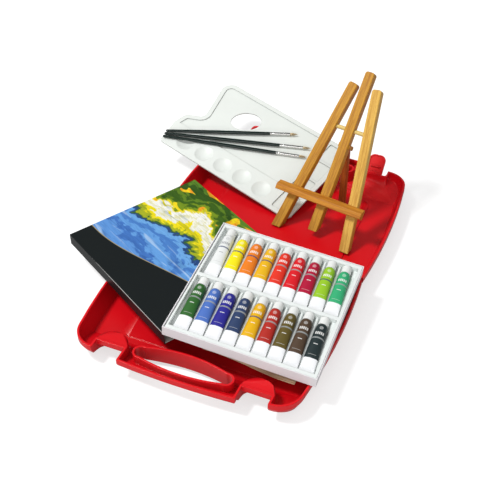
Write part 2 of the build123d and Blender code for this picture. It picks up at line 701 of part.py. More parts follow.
def brush_tuft(handle, ferrule, length):
    # Rings of straight three sided strands that draw in towards the tip, on a round backing.
    root = handle + ferrule - TUFT_SEAT
    tip = length
    radius = FERRULE_MOUTH_RADIUS - FERRULE_SHEET - TENON_CLEARANCE
    disc = Cylinder(radius, 1.6, align=(Align.CENTER, Align.CENTER, Align.MIN))
    backing = Pos(root, 0, 0) * Rot(0, 90, 0) * disc
    strands = []
    for ring in range(STRAND_RINGS + 1):
        count = max(1, STRANDS_PER_RING * ring)
        ring_radius = (radius - STRAND_SIDE) * ring / STRAND_RINGS
        ring_tip = tip - (tip - root) * 0.22 * (ring / STRAND_RINGS) ** 2
        share = 1 - (1 - TUFT_TIP_SHARE) * (ring_tip - root) / (tip - root)
        for index in range(count):
            angle = 2 * pi * index / count + 0.4 * ring
            y = ring_radius * cos(angle)
            z = ring_radius * sin(angle)
            low = triangle(root + 1.0, y, z, STRAND_SIDE, angle)
            high = triangle(ring_tip, y * share, z * share, STRAND_SIDE * 0.35, angle)
            strands.append(Solid.make_loft([low, high], ruled=True))
    return backing.fuse(*strands)


def easel_place():
    # Local X across the easel, Y up along the mast, Z out of its front. It stands on the heels of its feet.
    sole = STRIP_THICKNESS / cos(radians(EASEL_LEAN - HEEL_SLOPE))
    z = PANEL_TOP + CLEARANCE + sole * sin(radians(HEEL_SLOPE))
    z = z - STRIP_THICKNESS / 2 * sin(radians(EASEL_LEAN))
    return Pos(EASEL_X, HINGE_Y + EASEL_Y, z) * Rot(0, 0, EASEL_TURN) * Rot(90 - EASEL_LEAN, 0, 0)


def strip(length, width, thickness):
    # A planed strip along +Y with eased long edges.
    bar = Box(width, length, thickness, align=(Align.CENTER, Align.MIN, Align.CENTER))
    return chamfer(bar.edges().filter_by(Axis.Y), STRIP_EDGE_RADIUS)


def easel_strip(length):
    # One of the three square strips, rounded over at its top end.
    bar = Box(STRIP_WIDTH, length, STRIP_THICKNESS, align=(Align.CENTER, Align.MIN, Align.CENTER))
    top = bar.faces().sort_by(Axis.Y)[-1]
    bar = fillet(top.edges().filter_by(Axis.Z), STRIP_TOP_RADIUS)
    fronts = bar.edges().filter_by(Axis.Y)
    return chamfer(fronts, STRIP_EDGE_RADIUS)


def under_sole(height):
    # The space under the slanting saw cut that meets the strips' fronts at the given height.
    front = STRIP_THICKNESS / 2
    cut = Pos(0, height, front) * Rot(EASEL_LEAN - HEEL_SLOPE, 0, 0)
    return cut * Box(4 * FOOT_HALF, 40, 60, align=(Align.CENTER, Align.MAX, Align.CENTER))


def dowel_bore(extra):
    return Pos(0, DOWEL_HEIGHT, 0) * Rot(0, 90, 0) * Cylinder(DOWEL_RADIUS + extra, 2 * dowel_half(0))


def dowel_half(seat):
    # Half the dowel's length, to its seat inside each leg.
    share = DOWEL_HEIGHT / LEG_HEIGHT
    centre = FOOT_HALF + (TOP_HALF - FOOT_HALF) * share
    return centre - STRIP_WIDTH / 2 + seat


def easel_leg(side):
    turn = degrees(atan2(FOOT_HALF - TOP_HALF, LEG_HEIGHT))
    length = hypot(LEG_HEIGHT, FOOT_HALF - TOP_HALF)
    spare = STRIP_WIDTH / 2
    bar = Pos(0, -spare, 0) * easel_strip(length + spare)
    leg = Pos(side * FOOT_HALF, 0, 0) * Rot(0, 0, side * turn) * bar
    leg = leg - under_sole(0)
    socket = dowel_half(DOWEL_SEAT + DOWEL_CLEARANCE)
    bore = Pos(0, DOWEL_HEIGHT, 0) * Rot(0, 90, 0) * Cylinder(DOWEL_RADIUS + DOWEL_CLEARANCE, 2 * socket)
    return leg - bore


REAR_PIVOT_BACK = STRIP_THICKNESS / 2 + CLEARANCE + REAR_STRIP_THICKNESS / 2


def easel_mast():
    # The middle strip, drilled for the dowel, with two pivot ears and their pin at its back.
    mast = Pos(0, MAST_START, 0) * easel_strip(MAST_END - MAST_START)
    mast = mast - under_sole(MAST_START)
    mast = mast - dowel_bore(DOWEL_CLEARANCE)
    ear_reach = REAR_PIVOT_BACK + EAR_RADIUS
    ear_x = STRIP_WIDTH / 2 - 0.1 + EAR_THICKNESS / 2
    for side in (-1, 1):
        depth = ear_reach + STRIP_THICKNESS / 4
        ear = Box(EAR_THICKNESS, 2 * EAR_RADIUS, depth, align=(Align.CENTER, Align.CENTER, Align.MAX))
        ends = ear.edges().filter_by(Axis.X).group_by(Axis.Z)[0]
        ear = fillet(ends, EAR_RADIUS - 0.1)
        mast = mast + Pos(side * ear_x, REAR_PIVOT_HEIGHT, STRIP_THICKNESS / 4) * ear
    pin = Rot(0, 90, 0) * Cylinder(REAR_PIN_RADIUS, 2 * ear_x + EAR_THICKNESS + 0.8)
    return mast + Pos(0, REAR_PIVOT_HEIGHT, -REAR_PIVOT_BACK) * pin


def rear_leg_angle():
    # The rear leg's angle from the mast, from where its pivot and its foot stand.
    lean = radians(EASEL_LEAN)
    pivot_back = REAR_PIVOT_HEIGHT * sin(lean) + REAR_PIVOT_BACK * cos(lean)
    pivot_up = REAR_PIVOT_HEIGHT * cos(lean) - REAR_PIVOT_BACK * sin(lean)
    drop = atan2(REAR_FOOT_BACK - pivot_back, pivot_up)
    return degrees(drop) + EASEL_LEAN


def easel_rear_leg():
    # Hangs from the pin; its foot stands on the floor panel behind the easel.
    lean = radians(EASEL_LEAN)
    pivot_up = REAR_PIVOT_HEIGHT * cos(lean) - REAR_PIVOT_BACK * sin(lean)
    angle = rear_leg_angle()
    swing = radians(angle - EASEL_LEAN)
    place_height = (easel_place() * Pos(0, 0, 0)).position.Z
    half = REAR_STRIP_THICKNESS / 2
    reach = (pivot_up + place_height - PANEL_TOP - CLEARANCE - half * abs(sin(swing))) / cos(swing)
    bar = Pos(0, -reach, 0) * strip(reach, REAR_STRIP_WIDTH, REAR_STRIP_THICKNESS)
    knuckle = Rot(0, 90, 0) * Cylinder(half, REAR_STRIP_WIDTH - 2 * STRIP_EDGE_RADIUS)
    bar = bar + knuckle
    bore = Rot(0, 90, 0) * Cylinder(REAR_PIN_RADIUS + PIN_CLEARANCE, 2 * REAR_STRIP_WIDTH)
    return Pos(0, REAR_PIVOT_HEIGHT, -REAR_PIVOT_BACK) * Rot(angle, 0, 0) * (bar - bore)


def easel_ledge():
    # Fixed across the fronts of the three strips, its upper corner planed to a bevel.
    front = STRIP_THICKNESS / 2 + 0.02
    half = LEDGE_TALL / 2
    profile = Polyline(
        (-half, 0), (half, 0), (half, LEDGE_BEVEL_START), (LEDGE_BEVEL_END, LEDGE_DEPTH), (-half, LEDGE_DEPTH),
        close=True,
    )
    section = Plane(origin=(-LEDGE_HALF, 0, 0), x_dir=(0, 1, 0), z_dir=(1, 0, 0)) * make_face(profile)
    bar = extrude(section, amount=2 * LEDGE_HALF)
    corners = bar.edges().filter_by(Axis.X).group_by(Axis.Z)[-1]
    bar = chamfer(corners, STRIP_EDGE_RADIUS)
    return Pos(LEDGE_SHIFT, LEDGE_HEIGHT, front) * bar


def easel_dowel():
    return Pos(0, DOWEL_HEIGHT, 0) * Rot(0, 90, 0) * Cylinder(DOWEL_RADIUS, 2 * dowel_half(DOWEL_SEAT))


def tab_place(side):
    pivot_y = HINGE_Y + NOTCH_WALL_Y + TAB_PIVOT_OFFSET
    return Pos(side * NOTCH_CENTRE, pivot_y, RIM_HEIGHT - TAB_PIVOT_DROP)


def build_all():
    nodes = {}
    to_row = Pos(0, HINGE_Y, 0)
    nodes["base_shell"] = to_row * case_shell(True)
    nodes["lid_shell"] = to_row * mirror(case_shell(False), about=Plane.XZ)
    nodes["latch_tab_left"] = tab_place(-1) * latch_tab(LEFT_TAB_REST)
    nodes["latch_tab_right"] = tab_place(1) * latch_tab(RIGHT_TAB_REST)
    nodes["carton"] = carton_place() * carton()
    nodes["leaflet"] = leaflet_place() * leaflet()
    nodes["card_tray"] = tray_place() * card_tray()
    nodes["blister_insert"] = tray_place() * blister_insert()
    body = tube_body()
    cap = tube_cap()
    for row in (0, 1):
        for column in range(TUBE_COUNT):
            number = row * TUBE_COUNT + column + 1
            place = tray_place() * tube_place(row, column)
            nodes[f"paint_tube_{number:02d}"] = place * body
            nodes[f"tube_cap_{number:02d}"] = place * cap
    nodes["palette"] = palette_place() * palette()
    for name, (end, tip, handle, ferrule) in BRUSHES.items():
        length = hypot(tip[0] - end[0], tip[1] - end[1])
        place = palette_place() * brush_place(name)
        nodes[name + "_handle"] = place * brush_handle(handle)
        nodes[name + "_ferrule"] = place * brush_ferrule(handle, ferrule)
        nodes[name + "_tuft"] = place * brush_tuft(handle, ferrule, length)
    nodes["easel_mast"] = easel_place() * easel_mast()
    nodes["easel_leg_left"] = easel_place() * easel_leg(-1)
    nodes["easel_leg_right"] = easel_place() * easel_leg(1)
    nodes["easel_rear_leg"] = easel_place() * easel_rear_leg()
    nodes["easel_ledge"] = easel_place() * easel_ledge()
    nodes["easel_dowel"] = easel_place() * easel_dowel()
    return nodes


os.makedirs("parts", exist_ok=True)
for node_name, shape in build_all().items():
    export_step(shape, f"parts/{node_name}.step")
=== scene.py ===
import bpy
import bmesh
import math
import random
from mathutils import Matrix, Vector


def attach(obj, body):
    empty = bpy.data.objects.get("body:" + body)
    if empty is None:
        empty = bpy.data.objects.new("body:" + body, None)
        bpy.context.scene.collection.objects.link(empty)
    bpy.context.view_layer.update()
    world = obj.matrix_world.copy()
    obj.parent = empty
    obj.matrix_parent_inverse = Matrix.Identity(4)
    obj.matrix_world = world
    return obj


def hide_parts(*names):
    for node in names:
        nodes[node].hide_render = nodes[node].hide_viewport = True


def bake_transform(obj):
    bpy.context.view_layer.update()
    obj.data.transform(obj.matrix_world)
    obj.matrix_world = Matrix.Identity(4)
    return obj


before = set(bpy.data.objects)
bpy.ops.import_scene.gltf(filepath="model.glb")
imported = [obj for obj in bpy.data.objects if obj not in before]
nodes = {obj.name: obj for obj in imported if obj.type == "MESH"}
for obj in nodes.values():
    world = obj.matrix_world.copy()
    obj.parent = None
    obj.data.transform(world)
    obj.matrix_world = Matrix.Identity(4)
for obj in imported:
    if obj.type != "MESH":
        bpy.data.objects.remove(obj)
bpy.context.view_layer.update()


MM = 0.001


def turn(axis, degrees):
    return Matrix.Rotation(math.radians(degrees), 4, axis)


def move(x, y, z):
    return Matrix.Translation((x, y, z))


# Places of the loose contents, as in the part's source. X and Y count from the middle of the hinge,
# lengths are in metres and angles in degrees.
HINGE = Vector((0, 0.10225, 0))
CARTON_X, CARTON_Y, CARTON_TURN = -0.0709, -0.0479, -30.3
CARTON_HALF_LENGTH = 0.099
CARTON_BOTTOM = 0.0243
CARTON_TOP = 0.0382
TRAY_X, TRAY_Y, TRAY_TURN = 0.0483, -0.0876, 1.9
TRAY_LEAN = 5.7
ROW_MIDDLE = 0.03968
TUBE_PITCH = 0.0169
TUBE_SKEW = 2.2
TUBE_HALF_LENGTH = 0.0368
TUBE_AXIS_HEIGHT = 0.0084
TUBES_IN_ROW = 9
LEG_FOOT_X = 0.0463
LEG_DRAWN_IN = 0.0311
LEG_HEIGHT = 0.1915
LEDGE_X, LEDGE_Y = -0.0029, 0.0488
DOWEL_Y = 0.1375
REAR_PIVOT_Y, REAR_PIVOT_Z = 0.118, -0.0086
REAR_LEG_ANGLE = 39.2

CARTON = move(CARTON_X, HINGE.y + CARTON_Y, CARTON_BOTTOM) @ turn("Z", CARTON_TURN)
PALETTE = move(-0.0729, HINGE.y + 0.1756, 0.0353) @ turn("Z", -15.5) @ turn("Y", 7.86) @ turn("X", 11.82)
LEAFLET = move(0.056, HINGE.y - 0.1125, 0.0038) @ turn("Z", -4.0)
EASEL = move(0.0436, HINGE.y + 0.0661, 0.00214) @ turn("Z", -9.3) @ turn("X", 50.1)


def leaning_tray():
    """The tray leans about the carton's right edge, down to the case's right rim."""
    edge_turn = 90 + CARTON_TURN
    edge_x = CARTON_X + CARTON_HALF_LENGTH * math.cos(math.radians(CARTON_TURN))
    edge_y = CARTON_Y + CARTON_HALF_LENGTH * math.sin(math.radians(CARTON_TURN))
    away = (TRAY_X - edge_x) * math.sin(math.radians(edge_turn))
    away -= (TRAY_Y - edge_y) * math.cos(math.radians(edge_turn))
    height = CARTON_TOP - away * math.tan(math.radians(TRAY_LEAN))
    lean = turn("Z", edge_turn) @ turn("X", TRAY_LEAN) @ turn("Z", TRAY_TURN - edge_turn)
    return move(TRAY_X, HINGE.y + TRAY_Y, height) @ lean


TRAY = leaning_tray()


def tube_frame(number):
    """A tube's own frame: the origin at the middle of the cap's top, and the tube along -Y."""
    row, column = divmod(number - 1, TUBES_IN_ROW)
    middle = ROW_MIDDLE if row == 0 else -ROW_MIDDLE
    x = (column - TUBES_IN_ROW // 2) * TUBE_PITCH - math.sin(math.radians(TUBE_SKEW)) * TUBE_HALF_LENGTH
    return TRAY @ move(x, middle + TUBE_HALF_LENGTH, TUBE_AXIS_HEIGHT) @ turn("Z", TUBE_SKEW)


# Short calls for shader nodes.


def opaque(color):
    return (*color, 1)


class Shader:
    """One material, with short calls for its nodes."""

    def __init__(self, name):
        self.material = bpy.data.materials.new(name)
        self.material.use_nodes = True
        self.tree = self.material.node_tree
        self.tree.nodes.clear()
        self.surface = self.node("ShaderNodeBsdfPrincipled")
        self.output = self.node("ShaderNodeOutputMaterial")
        self.link(self.surface.outputs["BSDF"], self.output.inputs["Surface"])

    def node(self, kind, **settings):
        made = self.tree.nodes.new(kind)
        for key, value in settings.items():
            setattr(made, key, value)
        return made

    def link(self, source, target):
        self.tree.links.new(source, target)

    def feed(self, socket, value):
        """Links a socket to another node's output, or sets its own value."""
        if isinstance(value, bpy.types.NodeSocket):
            self.link(value, socket)
        elif isinstance(value, tuple) and len(value) == 3 and socket.type == "RGBA":
            socket.default_value = opaque(value)
        else:
            socket.default_value = value

    def place(self, matrix=None):
        """Object coordinates in a piece's own frame, in millimetres."""
        coordinates = self.node("ShaderNodeTexCoord").outputs["Object"]
        inverse = (matrix or Matrix()).inverted()
        mapping = self.node("ShaderNodeMapping", vector_type="POINT")
        mapping.inputs["Location"].default_value = inverse.to_translation() / MM
        mapping.inputs["Rotation"].default_value = inverse.to_euler()
        mapping.inputs["Scale"].default_value = (1 / MM, 1 / MM, 1 / MM)
        self.link(coordinates, mapping.inputs["Vector"])
        return mapping.outputs["Vector"]

    def split(self, vector):
        made = self.node("ShaderNodeSeparateXYZ")
        self.link(vector, made.inputs[0])
        return made.outputs

    def maths(self, operation, first, second=0.0, clamp=False):
        made = self.node("ShaderNodeMath", operation=operation, use_clamp=clamp)
        self.feed(made.inputs[0], first)
        self.feed(made.inputs[1], second)
        return made.outputs[0]

    def add(self, first, second):
        return self.maths("ADD", first, second)

    def times(self, first, second):
        return self.maths("MULTIPLY", first, second)

    def rest_of(self, share):
        """What a share leaves of 1."""
        return self.maths("SUBTRACT", 1.0, share)

    def step(self, value, low, high):
        """0 below low, 1 above high, smooth between."""
        made = self.node("ShaderNodeMapRange", interpolation_type="SMOOTHSTEP")
        self.feed(made.inputs["Value"], value)
        made.inputs["From Min"].default_value = low
        made.inputs["From Max"].default_value = high
        return made.outputs["Result"]

    def between(self, value, low, high, soft):
        """1 from low to high, with soft edges."""
        rise = self.step(value, low - soft, low + soft)
        fall = self.step(value, high - soft, high + soft)
        return self.times(rise, self.rest_of(fall))

    def noise(self, vector, scale, detail=2.0, roughness=0.5, stretch=None, distortion=0.0):
        if stretch:
            scaled = self.node("ShaderNodeVectorMath", operation="MULTIPLY")
            self.link(vector, scaled.inputs[0])
            scaled.inputs[1].default_value = stretch
            vector = scaled.outputs[0]
        made = self.node("ShaderNodeTexNoise")
        self.link(vector, made.inputs["Vector"])
        self.feed(made.inputs["Scale"], scale)
        made.inputs["Detail"].default_value = detail
        made.inputs["Roughness"].default_value = roughness
        made.inputs["Distortion"].default_value = distortion
        return made.outputs["Fac"]

    def around_zero(self, vector, scale, *shape, **more):
        """Noise from about -0.5 to 0.5."""
        return self.maths("SUBTRACT", self.noise(vector, scale, *shape, **more), 0.5)

    def mix(self, share, first, second, blend="MIX"):
        made = self.node("ShaderNodeMix", data_type="RGBA", blend_type=blend)
        self.feed(made.inputs[0], share)
        self.feed(made.inputs[6], first)
        self.feed(made.inputs[7], second)
        return made.outputs[2]

    def toned(self, color, factor):
        """A colour times another colour."""
        return self.mix(1.0, color, factor, "MULTIPLY")

    def ramp(self, value, stops):
        made = self.node("ShaderNodeValToRGB")
        elements = made.color_ramp.elements
        while len(elements) < len(stops):
            elements.new(0.5)
        for element, (position, color) in zip(elements, stops):
            element.position = position
            element.color = opaque(color)
        self.feed(made.inputs["Fac"], value)
        return made.outputs["Color"]

    def soft_edges(self, radius):
        """A normal that rounds a piece's edges."""
        made = self.node("ShaderNodeBevel", samples=6)
        made.inputs["Radius"].default_value = radius
        return made.outputs["Normal"]

    def painted_corner_shade(self, color, reach, depth):
        """Paints shade into a colour, darkening it in inner corners where less light reaches."""
        open_sky = self.node("ShaderNodeAmbientOcclusion", samples=6, only_local=True)
        open_sky.inputs["Distance"].default_value = reach
        corner_shade_share = self.rest_of(self.step(open_sky.outputs["AO"], 0.35, 0.95))
        return self.mix(self.times(corner_shade_share, depth), color, self.toned(color, (0.30, 0.32, 0.31)))

    def bump(self, height, strength, distance, normal=None):
        made = self.node("ShaderNodeBump")
        made.inputs["Strength"].default_value = strength
        made.inputs["Distance"].default_value = distance
        self.link(height, made.inputs["Height"])
        if normal is not None:
            self.link(normal, made.inputs["Normal"])
        self.link(made.outputs["Normal"], self.surface.inputs["Normal"])

    def group(self, tree, **values):
        made = self.node("ShaderNodeGroup", node_tree=tree)
        for name, value in values.items():
            self.feed(made.inputs[name], value)
        return made.outputs

    def set(self, **values):
        names = {
            "color": "Base Color", "roughness": "Roughness", "metallic": "Metallic", "coat": "Coat Weight",
            "coat_roughness": "Coat Roughness", "specular": "Specular IOR Level", "sheen": "Sheen Weight",
            "tint": "Specular Tint",
        }
        for key, value in values.items():
            self.feed(self.surface.inputs[names[key]], value)


FLOAT = "NodeSocketFloat"
COLOR = "NodeSocketColor"
VECTOR = "NodeSocketVector"


class Group(Shader):
    """A shader node group that several materials share."""

    def __init__(self, name, inputs, outputs):
        self.tree = bpy.data.node_groups.new(name, "ShaderNodeTree")
        for label, kind, value in inputs:
            socket = self.tree.interface.new_socket(label, in_out="INPUT", socket_type=kind)
            if kind != VECTOR:
                socket.default_value = value
        for label, kind in outputs:
            self.tree.interface.new_socket(label, in_out="OUTPUT", socket_type=kind)
        self.inputs = self.node("NodeGroupInput").outputs
        self.outputs = self.node("NodeGroupOutput").inputs

    def give(self, **values):
        for name, value in values.items():
            self.link(value, self.outputs[name])
        return self.tree


# Effects that several materials share.


def handled_surface():
    """Fine haze and light scratches from handling, for plastics, lacquer, metal and gloss card."""
    g = Group(
        "handled_surface",
        [("Place", VECTOR, None), ("Roughness", FLOAT, 0.3), ("Haze", FLOAT, 0.08), ("Scale", FLOAT, 0.05)],
        [("Roughness", FLOAT), ("Height", FLOAT), ("Shade", FLOAT)],
    )
    place = g.inputs["Place"]
    broad = g.noise(place, g.inputs["Scale"], 4.0)
    fine = g.noise(place, 1.6, 3.0)
    scratches = g.step(g.noise(place, 0.6, 2.0, stretch=(1.0, 0.06, 1.0)), 0.60, 0.68)
    haze = g.times(g.maths("SUBTRACT", broad, 0.5), g.inputs["Haze"])
    rough = g.add(g.inputs["Roughness"], haze)
    rough = g.add(rough, g.times(scratches, g.times(g.inputs["Haze"], 0.6)))
    return g.give(Roughness=rough, Height=g.add(fine, g.times(scratches, -0.4)), Shade=broad)


def planed_wood():
    """Straight grain along Y, with pores and slow changes of tone."""
    g = Group(
        "planed_wood",
        [("Place", VECTOR, None), ("Light", COLOR, (0.8, 0.5, 0.2, 1)), ("Dark", COLOR, (0.4, 0.2, 0.05, 1)),
         ("Streaks", FLOAT, 0.5)],
        [("Color", COLOR), ("Roughness", FLOAT), ("Height", FLOAT)],
    )
    place = g.inputs["Place"]
    slow = g.noise(place, 0.26, 3.0, 0.6, stretch=(1.0, 0.05, 1.0), distortion=0.9)
    grain = g.noise(place, 1.9, 4.0, 0.65, stretch=(1.0, 0.035, 1.0))
    pores = g.step(g.noise(place, 5.0, 1.0, 0.5, stretch=(1.0, 0.05, 1.0)), 0.62, 0.72)
    fine_tone = g.times(g.maths("SUBTRACT", grain, 0.5), 2.6)
    tone = g.maths("ADD", g.step(slow, 0.38, 0.66), fine_tone, clamp=True)
    color = g.mix(g.times(tone, g.inputs["Streaks"]), g.inputs["Light"], g.inputs["Dark"])
    color = g.mix(g.times(pores, 0.45), color, g.toned(g.inputs["Dark"], (0.55, 0.5, 0.45)))
    rough = g.add(0.34, g.times(grain, 0.2))
    return g.give(Color=color, Roughness=rough, Height=g.maths("SUBTRACT", grain, pores))


def paper_fibre():
    """Faint fibres and mottling, for card and paper."""
    g = Group(
        "paper_fibre",
        [("Place", VECTOR, None), ("Color", COLOR, (0.9, 0.9, 0.9, 1)), ("Mottle", FLOAT, 0.06)],
        [("Color", COLOR), ("Height", FLOAT)],
    )
    mottle = g.noise(g.inputs["Place"], 0.12, 4.0)
    fibre = g.noise(g.inputs["Place"], 2.5, 3.0, 0.7)
    shade = g.times(g.add(mottle, g.times(fibre, 0.4)), g.inputs["Mottle"])
    dark = g.toned(g.inputs["Color"], (0.72, 0.72, 0.74))
    color = g.mix(g.maths("MULTIPLY", shade, 3.0, clamp=True), g.inputs["Color"], dark)
    return g.give(Color=color, Height=fibre)


def tube_print():
    """A tube's colour, a thin band across it, and its bare white folded end. -Y runs back from the cap."""
    g = Group(
        "tube_print",
        [("Place", VECTOR, None), ("Paint", COLOR, (0.8, 0.1, 0.1, 1)), ("Band", COLOR, (0.1, 0.12, 0.25, 1)),
         ("Mark", COLOR, (0.8, 0.8, 0.8, 1))],
        [("Color", COLOR), ("Roughness", FLOAT), ("Height", FLOAT)],
    )
    place = g.inputs["Place"]
    x, y, z = g.split(place)
    back = g.times(y, -1.0)
    wobble = g.times(g.noise(place, 0.4, 2.0), 0.5)
    colored = g.rest_of(g.step(g.add(back, wobble), 55.6, 55.9))
    band = g.between(back, 29.2, 31.0, 0.12)
    # A ribbed disc and a row of dots above the band, a short bar and a fine rule below it.
    disc_y = g.maths("SUBTRACT", back, 17.2)
    disc = g.rest_of(g.step(g.add(g.times(x, x), g.times(disc_y, disc_y)), 4.2, 5.0))
    disc = g.times(disc, g.step(g.maths("SINE", g.times(disc_y, 5.2)), -0.6, 0.2))
    dots = g.step(g.maths("PINGPONG", g.add(x, 20.0), 0.95), 0.20, 0.34)
    dots = g.times(g.between(back, 22.4, 25.8, 0.15), dots)
    dots = g.times(dots, g.between(x, -4.75, 4.75, 0.1))
    bar = g.times(g.between(back, 37.6, 38.5, 0.12), g.between(x, -2.6, 2.0, 0.1))
    rule = g.times(g.between(back, 50.9, 51.3, 0.1), g.between(x, -4.4, 4.4, 0.1))
    small = g.maths("MAXIMUM", bar, g.times(rule, 0.6))
    marks = g.maths("MAXIMUM", g.maths("MAXIMUM", g.times(disc, 0.7), dots), small)
    upper_side = g.step(z, 1.0, 1.6)
    paint = g.mix(g.times(band, 0.85), g.inputs["Paint"], g.inputs["Band"])
    paint = g.mix(g.times(g.times(marks, upper_side), 0.75), paint, g.inputs["Mark"])
    color = g.mix(colored, (0.86, 0.875, 0.89), paint)
    dents = g.noise(place, 0.14, 2.0, stretch=(1.0, 0.6, 1.0))
    folds = g.times(g.step(back, 67.5, 68.5), g.maths("SINE", g.times(back, 4.2)))
    rough = g.add(0.34, g.times(dents, 0.12))
    return g.give(Color=color, Height=g.add(dents, g.times(folds, 0.12)), Roughness=rough)


HANDLED = handled_surface()
WOOD = planed_wood()
PAPER = paper_fibre()
TUBE = tube_print()


# Materials.


def moulded(
    name, color, rough=0.22, haze=0.10, matrix=None, edge=0.0006, coat=0.0, depth=0.00003, painted_shade_depth=0.0
):
    """Smooth plastic or lacquer, with rounded edges and, where asked for, shade painted into its creases."""
    s = Shader(name)
    handled = s.group(HANDLED, Place=s.place(matrix), Roughness=rough, Haze=haze, Scale=0.03)
    worn = tuple(part * 0.92 for part in color)
    shade = s.mix(handled["Shade"], worn, color)
    # Where asked for, shade is painted into the inner corners.
    if painted_shade_depth:
        shade = s.painted_corner_shade(shade, 0.0035, painted_shade_depth)
    s.set(color=shade, roughness=handled["Roughness"], coat=coat, coat_roughness=0.08, specular=0.4)
    s.bump(handled["Height"], 0.25, depth, s.soft_edges(edge))
    return s.material


def wooden(name, matrix, light, dark, streaks=0.78):
    s = Shader(name)
    grain = s.group(WOOD, Place=s.place(matrix), Light=light, Dark=dark, Streaks=streaks)
    s.set(color=grain["Color"], roughness=grain["Roughness"], specular=0.3)
    s.bump(grain["Height"], 0.3, 0.0001, s.soft_edges(0.0006))
    return s.material


def card(name, color, matrix, rough=0.55):
    s = Shader(name)
    fibre = s.group(PAPER, Place=s.place(matrix), Color=color, Mottle=0.06)
    s.set(color=fibre["Color"], roughness=rough)
    s.bump(fibre["Height"], 0.15, 0.00004)
    return s.material


def case_plastic():
    """Glossy red moulding. Other surfaces see it greyer, so that it doesn't dye the floor's shadows."""
    s = Shader("case_red_plastic")
    handled = s.group(HANDLED, Place=s.place(), Roughness=0.30, Haze=0.04, Scale=0.03)
    red = s.mix(handled["Shade"], (0.67, 0.0022, 0.0075), (0.74, 0.0030, 0.0090))
    bounced = s.node("ShaderNodeLightPath").outputs["Is Diffuse Ray"]
    color = s.mix(s.times(bounced, 0.6), red, (0.30, 0.22, 0.21))
    s.set(color=color, roughness=handled["Roughness"], specular=0.5, tint=(1.0, 0.72, 0.70))
    s.bump(handled["Height"], 0.05, 0.000008, s.soft_edges(0.0009))
    return s.material


# Where each band of the carton's strokes starts, in millimetres across it, and its colour.
STROKE_SPAN = 92
STROKE_BANDS = [
    (-92, (0.10, 0.27, 0.62)), (-48, (0.050, 0.16, 0.47)), (-36, (0.115, 0.31, 0.66)),
    (-20, (0.065, 0.20, 0.53)), (-9, (0.14, 0.36, 0.70)), (1, (0.020, 0.060, 0.20)),
    (6, (0.04, 0.12, 0.03)), (10, (0.35, 0.40, 0.015)), (16, (0.84, 0.70, 0.008)),
    (24, (0.80, 0.80, 0.70)), (31, (0.70, 0.68, 0.42)), (35, (0.84, 0.84, 0.78)),
    (42, (0.78, 0.66, 0.02)), (47, (0.17, 0.27, 0.012)), (55, (0.045, 0.115, 0.010)),
    (66, (0.11, 0.21, 0.015)), (72, (0.035, 0.095, 0.010)), (84, (0.10, 0.22, 0.02)),
]


def banded_strokes(s, along):
    """Crisp bands of colour. A ramp holds half of them, so there are two."""
    stops = []
    for (low, color), (high, _) in zip(STROKE_BANDS, STROKE_BANDS[1:] + [(STROKE_SPAN, None)]):
        for edge in (low + 1.2, high - 1.2):
            stops.append(((edge + STROKE_SPAN) / (2 * STROKE_SPAN), color))
    share = s.maths("DIVIDE", s.add(along, STROKE_SPAN), 2 * STROKE_SPAN)
    return s.mix(s.step(along, 23.0, 24.0), s.ramp(share, stops[:18]), s.ramp(share, stops[16:]))


def painted_strokes(s, place, x, y):
    """Broad strokes that run along the carton, with edges that roll like waves."""
    wander = s.around_zero(place, 0.013, 1.0, 0.4, distortion=0.5)
    streak = s.around_zero(place, 0.12, 3.0, 0.6, stretch=(0.22, 1.0, 1.0), distortion=1.2)
    swirl = s.around_zero(place, 0.034, 2.0, 0.5, distortion=2.2)
    roll = s.times(s.maths("SINE", s.times(x, 0.043)), 7.0)
    along = s.add(s.add(y, roll), s.times(wander, 74.0))
    along = s.add(along, s.add(s.times(swirl, 34.0), s.times(streak, 22.0)))
    strokes = banded_strokes(s, along)
    # Dabs of yellow and orange on the green.
    dab = s.noise(place, 0.055, 1.0, 0.4, stretch=(0.6, 1.2, 1.0), distortion=0.8)
    dab = s.times(s.step(dab, 0.60, 0.625), s.step(along, 42.0, 47.0))
    tone = s.step(s.noise(place, 0.11, 1.0), 0.45, 0.6)
    strokes = s.mix(dab, strokes, s.mix(tone, (0.86, 0.34, 0.015), (0.86, 0.66, 0.01)))
    # Fine pale lines on the blue.
    crest = s.noise(place, 0.10, 2.0, 0.5, stretch=(0.13, 1.0, 1.0), distortion=1.0)
    crest = s.times(s.step(crest, 0.60, 0.68), s.rest_of(s.step(along, -14.0, -4.0)))
    strokes = s.mix(s.times(crest, 0.55), strokes, (0.48, 0.63, 0.80))
    # Darker hollows, and the brush's own marks over all.
    deep = s.noise(place, 0.07, 2.0, 0.5, stretch=(0.2, 1.0, 1.0), distortion=1.4)
    deep = s.times(s.step(deep, 0.56, 0.64), 0.45)
    strokes = s.mix(deep, strokes, s.toned(strokes, (0.35, 0.45, 0.55)))
    bristle = s.noise(place, 0.42, 3.0, 0.6, stretch=(0.12, 1.0, 1.0), distortion=0.9)
    bristle = s.times(s.step(bristle, 0.40, 0.72), 0.55)
    return s.mix(bristle, strokes, s.toned(strokes, (0.55, 0.6, 0.66)))


